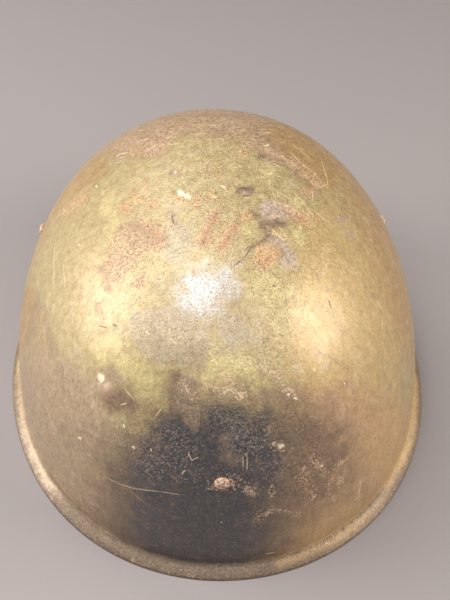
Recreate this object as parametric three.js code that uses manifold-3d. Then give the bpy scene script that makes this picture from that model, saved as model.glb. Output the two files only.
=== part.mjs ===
// Pressed steel combat helmet: one bare shell with a flared rim, and three domed rivets.
// Millimetres, +Z up. The rim stands on z = 0, the front faces -Y and the wearer's left is +X.
// The origin is the middle of the rim's outline, on the surface that the rim stands on.
import * as THREE from "three";
import { mergeVertices } from "three/addons/utils/BufferGeometryUtils.js";
import Module from "manifold-3d";

const wasm = await Module();
wasm.setup();
const { clamp, degToRad, lerp } = THREE.MathUtils;

// Shell: outside sizes over the rim, and the thickness of the sheet.
const RIM_WIDTH = 244.4;
const RIM_LENGTH = 281.6;
const HEIGHT = 158.5;
const SHEET = 1.2;

// Flared rim: the wall bends out round an arc, then a straight lip runs to the trimmed edge.
const FLARE_RADIUS = 7.6;
const FLARE_ANGLE = degToRad(55);
const LIP_LENGTH = 4.1;
const TRIM_HEIGHT = 0.9;

// How much fuller than an ellipse the dome is halfway round a section: its upright sections
// towards the front, the sides and the rear, and its level sections.
const FULLNESS = { front: 0.1, side: 0.025, rear: 0.02 };
const PLAN_SQUARENESS = 0.01;

// Rivets: each at its own height and at its own azimuth in degrees, from the front towards the
// wearer's left.
const RIVETS = [
  { name: "rivet_front", azimuth: -5, height: 74.6 },
  { name: "rivet_left", azimuth: 107, height: 77.8 },
  { name: "rivet_right", azimuth: -114, height: 74.6 },
];
const HEAD_RADIUS = 3.7;
const HEAD_HEIGHT = 2.1;
const SHANK_RADIUS = 2;
const TAIL_RADIUS = 3.2;
const TAIL_HEIGHT = 1.4;
const CLEARANCE = 0.35;

// Facets.
const SHELL_SIDES = 72;
const DOME_LEVELS = 18;
const FLARE_LEVELS = 4;
const RIVET_SIDES = 20;
const HEAD_STEPS = 5;

// Sizes that follow from the ones above.
const flareReach = FLARE_RADIUS * (1 - Math.cos(FLARE_ANGLE)) + LIP_LENGTH * Math.sin(FLARE_ANGLE);
const lipTop = TRIM_HEIGHT + LIP_LENGTH * Math.cos(FLARE_ANGLE);
const flareTop = lipTop + FLARE_RADIUS * Math.sin(FLARE_ANGLE);
const wallHalfWidth = RIM_WIDTH / 2 - flareReach;
const wallHalfLength = RIM_LENGTH / 2 - flareReach;
const edgeWidth =
  SHEET * Math.cos(FLARE_ANGLE) + (SHEET * Math.sin(FLARE_ANGLE) - TRIM_HEIGHT) * Math.tan(FLARE_ANGLE);

const paint = new THREE.MeshStandardMaterial({ color: 0x6e6540, roughness: 0.45, metalness: 0.3 });
const rust = new THREE.MeshStandardMaterial({ color: 0xa97f63, roughness: 0.8, metalness: 0.2 });

// How far the rim's flare stands out from the wall at a height: nothing above the bend, an arc
// through it, then the straight slope of the lip.
function flareAt(z) {
  const drop = clamp(flareTop - z, 0, flareTop - lipTop);
  const arc = FLARE_RADIUS - Math.sqrt(FLARE_RADIUS ** 2 - drop ** 2);
  const slope = clamp(lipTop - z, 0, lipTop - TRIM_HEIGHT) * Math.tan(FLARE_ANGLE);
  return arc + slope;
}

// A point of the outside. The azimuth runs from the front towards the wearer's left, and the
// polar angle from the crown (0) to the rim (a right angle). Every section is an ellipse, made
// fuller by the share above where both angles are halfway, plus the flare of the rim.
function outerPoint(azimuth, polar, inset = 0) {
  const facing = Math.cos(azimuth);
  const end = facing > 0 ? FULLNESS.front : FULLNESS.rear;
  const full = 1 + lerp(FULLNESS.side, end, facing ** 2) * Math.sin(2 * polar) ** 2;
  const square = 1 + PLAN_SQUARENESS * Math.sin(2 * azimuth) ** 2;
  const z = HEIGHT * Math.cos(polar) * full;
  const spread = Math.sin(polar) * full;
  const reach = flareAt(z) - inset;
  return new THREE.Vector3(
    (wallHalfWidth * spread + reach) * square * Math.sin(azimuth),
    -(wallHalfLength * spread + reach) * square * facing,
    z,
  );
}

// The way out of the sheet at a point, square to two short steps along the surface.
function outwardNormal(azimuth, polar) {
  const step = 1e-4;
  const around = outerPoint(azimuth + step, polar).sub(outerPoint(azimuth - step, polar));
  const down = outerPoint(azimuth, polar + step).sub(outerPoint(azimuth, polar - step));
  return down.cross(around).normalize();
}

function innerPoint(azimuth, polar) {
  return outerPoint(azimuth, polar).addScaledVector(outwardNormal(azimuth, polar), -SHEET);
}

// The polar angle at which the wall is at a height, where the sections are close to ellipses.
function polarAt(z) {
  return Math.acos(z / HEIGHT);
}

// The polar angles of the shell's rings, from the first below the crown to the top of the lip.
function shellLevels() {
  const levels = [];
  for (let i = 1; i <= DOME_LEVELS; i++) {
    levels.push((polarAt(flareTop) * i) / DOME_LEVELS);
  }
  for (let i = 1; i <= FLARE_LEVELS; i++) {
    const turn = (FLARE_ANGLE * i) / FLARE_LEVELS;
    levels.push(polarAt(flareTop - FLARE_RADIUS * Math.sin(turn)));
  }
  return levels;
}

function ring(pointAt) {
  const points = [];
  for (let i = 0; i < SHELL_SIDES; i++) {
    points.push(pointAt((2 * Math.PI * i) / SHELL_SIDES));
  }
  return points;
}

// A closed mesh from rings of points, with one point at each end of the row of rings.
function meshThroughRings(firstPole, rings, lastPole) {
  const points = [firstPole, ...rings.flat(), lastPole];
  const last = points.length - 1;
  const at = (row, side) => 1 + row * SHELL_SIDES + (side % SHELL_SIDES);
  const index = [];
  for (let side = 0; side < SHELL_SIDES; side++) {
    index.push(0, at(0, side), at(0, side + 1));
    for (let row = 0; row + 1 < rings.length; row++) {
      index.push(at(row, side), at(row + 1, side), at(row + 1, side + 1));
      index.push(at(row, side), at(row + 1, side + 1), at(row, side + 1));
    }
    index.push(at(rings.length - 1, side), last, at(rings.length - 1, side + 1));
  }
  return new THREE.BufferGeometry().setFromPoints(points).setIndex(index);
}

function toSolid(geometry) {
  geometry.deleteAttribute("normal");
  geometry.deleteAttribute("uv");
  const merged = mergeVertices(geometry);
  const vertProperties = new Float32Array(merged.attributes.position.array);
  const triVerts = new Uint32Array(merged.index.array);
  return new wasm.Manifold(new wasm.Mesh({ numProp: 3, vertProperties, triVerts }));
}

function toGeometry(solid) {
  const { vertProperties, triVerts } = solid.getMesh();
  const geometry = new THREE.BufferGeometry();
  geometry.setAttribute("position", new THREE.BufferAttribute(vertProperties, 3));
  geometry.setIndex(new THREE.BufferAttribute(triVerts, 1));
  geometry.computeVertexNormals();
  return geometry;
}

// Where a rivet sits: the point of the outside at the rivet's height, and the turn that takes
// the rivet's own axis, +Y, to the way out of the sheet there.
function rivetSeat(azimuth, height) {
  let polar = polarAt(height);
  for (let i = 0; i < 20; i++) {
    polar += (outerPoint(azimuth, polar).z - height) / HEIGHT;
  }
  const turn = new THREE.Quaternion().setFromUnitVectors(
    new THREE.Vector3(0, 1, 0),
    outwardNormal(azimuth, polar),
  );
  return { position: outerPoint(azimuth, polar), turn };
}

// The shell: down the outside, round the trimmed edge and up the inside, then the rivet holes.
function makeShell(seats) {
  const levels = shellLevels();
  const rim = Math.PI / 2;
  const outside = [...levels, polarAt(TRIM_HEIGHT), rim].map((polar) => ring((a) => outerPoint(a, polar)));
  const edge = ring((a) => outerPoint(a, rim, edgeWidth));
  const inside = levels.toReversed().map((polar) => ring((a) => innerPoint(a, polar)));
  const crown = new THREE.Vector3(0, 0, HEIGHT);
  const innerCrown = new THREE.Vector3(0, 0, HEIGHT - SHEET);
  let solid = toSolid(meshThroughRings(crown, [...outside, edge, ...inside], innerCrown));
  for (const { position, turn } of seats) {
    const drill = new THREE.CylinderGeometry(
      SHANK_RADIUS + CLEARANCE,
      SHANK_RADIUS + CLEARANCE,
      8 * SHEET,
      RIVET_SIDES,
    );
    drill.applyQuaternion(turn).translate(position.x, position.y, position.z);
    solid = solid.subtract(toSolid(drill));
  }
  return new THREE.Mesh(toGeometry(solid), paint);
}

// A rivet along +Y with the outside of the sheet at y = 0: a plain formed tail inside, the
// shank through the hole, and a head whose dome is a quarter of an ellipse.
function rivetGeometry() {
  const tailTop = -SHEET - CLEARANCE;
  const profile = [
    [0, tailTop - TAIL_HEIGHT],
    [TAIL_RADIUS * 0.7, tailTop - TAIL_HEIGHT],
    [TAIL_RADIUS, tailTop - TAIL_HEIGHT * 0.6],
    [TAIL_RADIUS, tailTop],
    [SHANK_RADIUS, tailTop],
    [SHANK_RADIUS, CLEARANCE],
  ];
  for (let i = 0; i <= HEAD_STEPS; i++) {
    const rise = (Math.PI / 2) * (i / HEAD_STEPS);
    const radius = i < HEAD_STEPS ? HEAD_RADIUS * Math.cos(rise) : 0;
    profile.push([radius, CLEARANCE + HEAD_HEIGHT * Math.sin(rise)]);
  }
  const points = profile.map(([radius, y]) => new THREE.Vector2(radius, y));
  return toGeometry(toSolid(new THREE.LatheGeometry(points, RIVET_SIDES)));
}

const helmet = new THREE.Group();
const seats = RIVETS.map(({ azimuth, height }) => rivetSeat(degToRad(azimuth), height));
const shell = makeShell(seats);
shell.name = "shell";
helmet.add(shell);
RIVETS.forEach(({ name }, i) => {
  const rivet = new THREE.Mesh(rivetGeometry(), rust);
  rivet.name = name;
  rivet.position.copy(seats[i].position);
  rivet.quaternion.copy(seats[i].turn);
  helmet.add(rivet);
});

export default helmet;
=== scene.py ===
"""Worn steel combat helmet: its finished surfaces, a plain studio and the camera.

Metres, +Z up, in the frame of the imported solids: the rim stands on z = 0, the front faces -Y
and the wearer's left is +X.
"""

import logging
import math
from dataclasses import dataclass
from enum import Enum
from typing import Any, ClassVar, NamedTuple

import bpy
import numpy as np
from mathutils import Matrix, Vector

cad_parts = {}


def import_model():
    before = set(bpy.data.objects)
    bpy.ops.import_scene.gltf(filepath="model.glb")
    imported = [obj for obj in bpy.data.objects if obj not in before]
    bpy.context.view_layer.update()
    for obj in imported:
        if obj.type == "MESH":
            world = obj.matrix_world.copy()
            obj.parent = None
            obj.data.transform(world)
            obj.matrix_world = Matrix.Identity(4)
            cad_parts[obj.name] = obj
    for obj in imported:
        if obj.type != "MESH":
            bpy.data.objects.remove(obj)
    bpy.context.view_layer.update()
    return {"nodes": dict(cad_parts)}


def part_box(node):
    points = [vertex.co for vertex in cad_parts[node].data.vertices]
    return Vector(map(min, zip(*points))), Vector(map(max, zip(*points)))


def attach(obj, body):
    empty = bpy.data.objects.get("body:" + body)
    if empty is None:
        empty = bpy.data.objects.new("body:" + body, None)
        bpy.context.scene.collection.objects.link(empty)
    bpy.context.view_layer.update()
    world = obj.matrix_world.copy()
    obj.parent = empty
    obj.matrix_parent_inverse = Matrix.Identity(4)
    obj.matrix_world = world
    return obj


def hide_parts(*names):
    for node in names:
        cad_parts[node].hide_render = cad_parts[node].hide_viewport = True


frame: dict[str, Any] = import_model()

MM = 0.001
IMAGE_SIZE = (450, 600)
LATTICE_SIZE = 64
FIRST_POLE = -2
INSIDE = "inside"
log = logging.getLogger("helmet")

Array = np.ndarray


def linear(hex_colour: str) -> tuple[float, float, float, float]:
    """Turns an sRGB hex colour into linear light.

    Args:
        hex_colour: Six hex digits after a hash sign.

    Returns:
        Linear red, green and blue, and an alpha of one.
    """
    srgb = np.array([int(hex_colour[i : i + 2], 16) for i in (1, 3, 5)]) / 255
    low, high = srgb / 12.92, ((srgb + 0.055) / 1.055) ** 2.4
    red, green, blue = np.where(srgb <= 0.04045, low, high).tolist()
    return red, green, blue, 1.0


def per_metre(size_mm: float) -> float:
    """Returns the texture scale whose features are about size_mm across."""
    return 1 / (size_mm * MM)


def add_node(
    tree: bpy.types.NodeTree,
    kind: str,
    settings: dict[str, Any] | None = None,
    inputs: dict[str | int, Any] | None = None,
) -> bpy.types.Node:
    """Adds a node, sets its properties, and links or sets its inputs.

    Args:
        tree: The node tree to add to.
        kind: The node's type without the ShaderNode prefix.
        settings: Property names and their values.
        inputs: Input names or numbers, each with a socket to link from or a plain value.

    Returns:
        The new node.
    """
    node = tree.nodes.new("ShaderNode" + kind)
    for name, value in (settings or {}).items():
        setattr(node, name, value)
    for key, value in (inputs or {}).items():
        if isinstance(value, bpy.types.NodeSocket):
            tree.links.new(value, node.inputs[key])
        else:
            node.inputs[key].default_value = value
    return node


def empty_material(name: str) -> bpy.types.Material:
    """Makes a material whose node tree is empty.

    Args:
        name: The material's name.

    Returns:
        The new material.
    """
    material = bpy.data.materials.new(name)
    material.use_nodes = True
    material.node_tree.nodes.clear()
    return material


def add_object(name: str, data: Any) -> bpy.types.Object:
    """Makes an object and links it to the scene, at the origin.

    Args:
        name: The object's name.
        data: The mesh, light or camera that it holds.

    Returns:
        The new object.
    """
    thing = bpy.data.objects.new(name, data)
    bpy.context.scene.collection.objects.link(thing)
    return thing


def lattice_noise(points: Array, cell: float, seed: int) -> Array:
    """Smooth noise: seeded random values on a cubic lattice, blended between its corners.

    Args:
        points: Points in metres, three to a row.
        cell: The lattice spacing in metres.
        seed: The seed of the random values.

    Returns:
        One value from -1 to 1 for each point.
    """
    values = np.random.default_rng(seed).uniform(-1, 1, (LATTICE_SIZE,) * 3)
    place = points / cell
    corner = np.floor(place).astype(int)
    share = place - corner
    share = share * share * (3 - 2 * share)
    total = np.zeros(len(points))
    for step in np.ndindex(2, 2, 2):
        weight = np.prod(np.where(step, share, 1 - share), axis=1)
        at = (corner + step) % LATTICE_SIZE
        total += weight * values[at[:, 0], at[:, 1], at[:, 2]]
    return total


def mesh_through_rings(
    name: str, rings: Array, first_pole: Array, last_pole: Array
) -> bpy.types.Object:
    """Makes a closed mesh from a grid of rings with a point at each end of the row.

    The rings' points come first among the vertices, and the two poles last.

    Args:
        name: The object's name.
        rings: Points as (ring, place round the ring, coordinate).
        first_pole: The point that closes the first ring.
        last_pole: The point that closes the last ring.

    Returns:
        The new object, shaded smooth, at the origin.
    """
    count, sides = rings.shape[:2]
    points = np.vstack([rings.reshape(-1, 3), first_pole, last_pole])
    index = np.arange(count * sides).reshape(count, sides)
    beside = np.roll(index, -1, axis=1)
    quads = np.stack([index[:-1], index[1:], beside[1:], beside[:-1]], axis=-1).reshape(-1, 4)
    first, last = count * sides, count * sides + 1
    top = np.stack([np.full(sides, first), index[0], beside[0]], axis=-1)
    bottom = np.stack([index[-1], np.full(sides, last), beside[-1]], axis=-1)
    mesh = bpy.data.meshes.new(name)
    mesh.from_pydata(points.tolist(), [], quads.tolist() + top.tolist() + bottom.tolist())
    mesh.shade_smooth()
    return add_object(name, mesh)


@dataclass(frozen=True)
class PhotoCamera:
    """The camera at the photograph's viewing angle, placed in the helmet's own frame."""

    place: tuple[float, float, float] = (-0.0362, -0.3725, 0.4828)
    heading: float = math.radians(6.28)
    pitch: float = math.radians(48.54)
    roll: float = math.radians(0.69)
    focal_pixels: float = 1004.0
    sensor_mm: float = 36.0
    clip_start: float = 0.01

    def axes(self) -> Array:
        """Turns level axes by the heading, the pitch and the roll, in that order.

        Returns:
            The directions right, up and ahead, one to a row.
        """
        sin_h, cos_h = math.sin(self.heading), math.cos(self.heading)
        sin_p, cos_p = math.sin(self.pitch), math.cos(self.pitch)
        right = np.array([cos_h, -sin_h, 0])
        up = np.array([sin_p * sin_h, sin_p * cos_h, cos_p])
        ahead = np.array([cos_p * sin_h, cos_p * cos_h, -sin_p])
        sin_r, cos_r = math.sin(self.roll), math.cos(self.roll)
        return np.array([cos_r * right + sin_r * up, cos_r * up - sin_r * right, ahead])

    def rays(self, pixels: Array) -> Array:
        """Gives the directions in which the camera sees some pixels.

        Args:
            pixels: Columns and rows in the 450 by 600 image, two to a row.

        Returns:
            Unit directions, three to a row.
        """
        offset = pixels - np.array(IMAGE_SIZE) / 2
        ahead = np.full(len(pixels), self.focal_pixels)
        direction = np.column_stack([offset[:, 0], -offset[:, 1], ahead]) @ self.axes()
        return direction / np.linalg.norm(direction, axis=1, keepdims=True)

    def pixels(self, points: Array) -> Array:
        """Gives the pixels at which the camera sees some points.

        Args:
            points: Points in metres, three to a row.

        Returns:
            Columns and rows in the 450 by 600 image, two to a row.
        """
        right, up, ahead = ((points - np.array(self.place)) @ self.axes().T).T
        offset = np.column_stack([right / ahead, -up / ahead])
        return np.array(IMAGE_SIZE) / 2 + self.focal_pixels * offset

    def build(self) -> None:
        """Adds the camera and makes it the scene's own."""
        data = bpy.data.cameras.new("photo_camera")
        data.sensor_width = self.sensor_mm
        data.lens = self.focal_pixels / max(IMAGE_SIZE) * self.sensor_mm
        data.clip_start = self.clip_start
        right, up, ahead = self.axes()
        turn = Matrix(np.column_stack([right, up, -ahead]).tolist()).to_4x4()
        camera = add_object("photo_camera", data)
        camera.matrix_world = Matrix.Translation(self.place) @ turn
        bpy.context.scene.camera = camera


@dataclass(frozen=True)
class ShellForm:
    """The pressed shell as a function of two angles.

    The azimuth runs from the front towards the wearer's left, and the polar angle from the
    crown to the rim. Every section is an ellipse, made fuller by a share halfway round it, and
    the rim flares out round an arc into a straight lip that ends in a trimmed edge.
    """

    half_width: float
    half_length: float
    height: float
    sheet: float = 1.2 * MM
    # The bend is tighter than the solids' and the lip longer, so that the rim reaches as far.
    flare_radius: float = 4.0 * MM
    flare_angle: float = math.radians(55)
    lip: float = 5.974 * MM
    trim: float = 0.9 * MM
    full_front: float = 0.1
    full_side: float = 0.025
    full_rear: float = 0.02
    squareness: float = 0.01
    slope_step: float = 1e-4
    ray_near: float = 0.25
    ray_far: float = 0.85
    ray_step: float = 0.2 * MM

    @classmethod
    def of_node(cls, node: str) -> "ShellForm":
        """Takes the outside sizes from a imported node's box.

        Args:
            node: The node's name.

        Returns:
            The form, with the sizes of the box.
        """
        low, high = (np.array(corner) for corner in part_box(node))
        width, length, height = high - low
        return cls(width / 2, length / 2, height)

    @property
    def reach(self) -> float:
        """How far the lip's edge stands out from the wall."""
        bend = self.flare_radius * (1 - math.cos(self.flare_angle))
        return bend + self.lip * math.sin(self.flare_angle)

    @property
    def lip_top(self) -> float:
        """The height where the bend ends and the straight lip starts."""
        return self.trim + self.lip * math.cos(self.flare_angle)

    @property
    def flare_top(self) -> float:
        """The height where the wall starts to bend out."""
        return self.lip_top + self.flare_radius * math.sin(self.flare_angle)

    @property
    def edge_width(self) -> float:
        """The width of the flat ring that the helmet stands on."""
        rise = self.sheet * math.sin(self.flare_angle) - self.trim
        return self.sheet * math.cos(self.flare_angle) + rise * math.tan(self.flare_angle)

    def flare_at(self, z: Array) -> Array:
        """Works out how far the rim stands out: an arc, then the lip's straight slope.

        Args:
            z: Heights above the floor.

        Returns:
            Distances out from the wall, none above the bend.
        """
        drop = np.clip(self.flare_top - z, 0, self.flare_top - self.lip_top)
        arc = self.flare_radius - np.sqrt(self.flare_radius**2 - drop**2)
        slope = np.clip(self.lip_top - z, 0, self.lip_top - self.trim) * math.tan(self.flare_angle)
        return arc + slope

    def full_at(self, azimuth: Array, polar: Array) -> Array:
        """Works out the upright section's fullness: a share that is largest halfway down.

        The share runs from the sides' own to the front's or the rear's with the squared cosine
        of the azimuth.

        Args:
            azimuth: Angles from the front towards the wearer's left.
            polar: Angles from the crown to the rim.

        Returns:
            How many times fuller than an ellipse the section is.
        """
        facing = np.cos(azimuth)
        end = np.where(facing > 0, self.full_front, self.full_rear)
        share = self.full_side + (end - self.full_side) * facing**2
        return 1 + share * np.sin(2 * polar) ** 2

    def square_at(self, azimuth: Array) -> Array:
        """Returns how many times wider than an ellipse the level section is."""
        return 1 + self.squareness * np.sin(2 * azimuth) ** 2

    def polar_at(self, z: Array) -> Array:
        """Returns the polar angle at heights near the rim, where the wall is close to upright."""
        return np.arccos(np.asarray(z) / self.height)

    def outside(self, azimuth: Array, polar: Array, inset: float = 0.0) -> Array:
        """Gives points of the outside: ellipses, made fuller, plus the flare of the rim.

        Args:
            azimuth: Angles from the front towards the wearer's left.
            polar: Angles from the crown to the rim.
            inset: How far to move the points in, level with the rim.

        Returns:
            Points with the coordinate as the last axis.
        """
        full = self.full_at(azimuth, polar)
        z = self.height * np.cos(polar) * full
        spread = np.sin(polar) * full
        out = self.flare_at(z) - inset
        square = self.square_at(azimuth)
        x = ((self.half_width - self.reach) * spread + out) * square * np.sin(azimuth)
        y = -((self.half_length - self.reach) * spread + out) * square * np.cos(azimuth)
        return np.stack(np.broadcast_arrays(x, y, z), axis=-1)

    def normals(self, azimuth: Array, polar: Array) -> Array:
        """Works out the ways out of the sheet: the cross product of two short steps along it.

        Args:
            azimuth: Angles from the front towards the wearer's left.
            polar: Angles from the crown to the rim.

        Returns:
            Unit directions with the coordinate as the last axis.
        """
        step = self.slope_step
        around = self.outside(azimuth + step, polar) - self.outside(azimuth - step, polar)
        down = self.outside(azimuth, polar + step) - self.outside(azimuth, polar - step)
        normal = np.cross(down, around)
        return normal / np.linalg.norm(normal, axis=-1, keepdims=True)

    def angles_of(self, points: Array) -> tuple[Array, Array, Array]:
        """Gives the two angles of points, and how deep they lie inside the dome.

        The points are first scaled to a dome of unit size, where the angles can be read off.

        Args:
            points: Points in metres, with the coordinate as the last axis.

        Returns:
            Azimuths, polar angles and depths, the depths as shares of the dome's own size.
        """
        x = points[..., 0] / (self.half_width - self.reach)
        y = -points[..., 1] / (self.half_length - self.reach)
        z = points[..., 2] / self.height
        azimuth = np.arctan2(x, y)
        level = np.hypot(x, y) / self.square_at(azimuth)
        polar = np.arctan2(level, z)
        return azimuth, polar, self.full_at(azimuth, polar) - np.hypot(level, z)

    def seen_at(self, camera: PhotoCamera, pixels: Array) -> tuple[Array, Array]:
        """Finds where the camera's rays through some pixels first meet the dome.

        Each ray is walked in even steps to its first point inside, or to its deepest point if
        it passes the dome by, and that point is then put on the surface.

        Args:
            camera: The camera that looks.
            pixels: Columns and rows of the image, two to a row.

        Returns:
            Points of the outside and the ways out of the sheet there.
        """
        along = np.arange(self.ray_near, self.ray_far, self.ray_step)
        steps = along[None, :, None] * camera.rays(pixels)[:, None, :]
        depth = self.angles_of(np.array(camera.place) + steps)[2]
        inside = depth > 0
        first = np.where(inside.any(axis=1), inside.argmax(axis=1), depth.argmax(axis=1))
        hit = np.array(camera.place) + steps[np.arange(len(pixels)), first]
        azimuth, polar, _ = self.angles_of(hit)
        polar = np.minimum(polar, self.polar_at(self.trim))
        return self.outside(azimuth, polar), self.normals(azimuth, polar)


class Stain(Enum):
    """What wear and weather left on the paint, with the painted highlight and painted shade laid
    over it, each one a float attribute of the shell.
    """

    OCHRE = "ochre_fade"
    BROWN = "brown_fade"
    RUSSET = "russet_fade"
    CROWN = "crown_rub"
    TAN = "tan_fade"
    PALE = "pale_polish"
    GREY = "grey_rub"
    DUN = "dun_rub"
    # A painted highlight: pale bluish colour where the glare falls.
    MAUVE = "mauve_undercoat"
    BRIGHT = "bright_paint"
    BED = "rust_bed"
    # Umber stain, and painted shade along the crease above the lip.
    UMBER = "umber_stain"
    # Charcoal wear on the front, with painted shade on the front wall and down into the crease.
    CHARCOAL = "charcoal_wear"
    INK = "ink_crust"
    RUBBED = "rubbed_through"
    ORANGE = "orange_rust"
    RIM = "rim_wear"
    # Rust at the trimmed edge, and painted shade that darkens the lip towards it.
    EDGE = "rusted_edge"
    GOLD = "gold_lip"
    DUST = "dust_speckle"
    PEACH = "peach_speckle"
    PEPPER = "pepper_speckle"
    GRIT = "gritty_paint"


class Patch(NamedTuple):
    """A stain, a painted highlight or a painted shade, as the photograph shows it.

    The outline is a row of pixels, each a column and a row of the image, and two pixels make a
    stroke. The edge lies reach pixels outside the outline, and fades over soft pixels each way.
    """

    outline: tuple[tuple[float, float], ...]
    soft: float
    reach: float = 0.0


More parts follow.
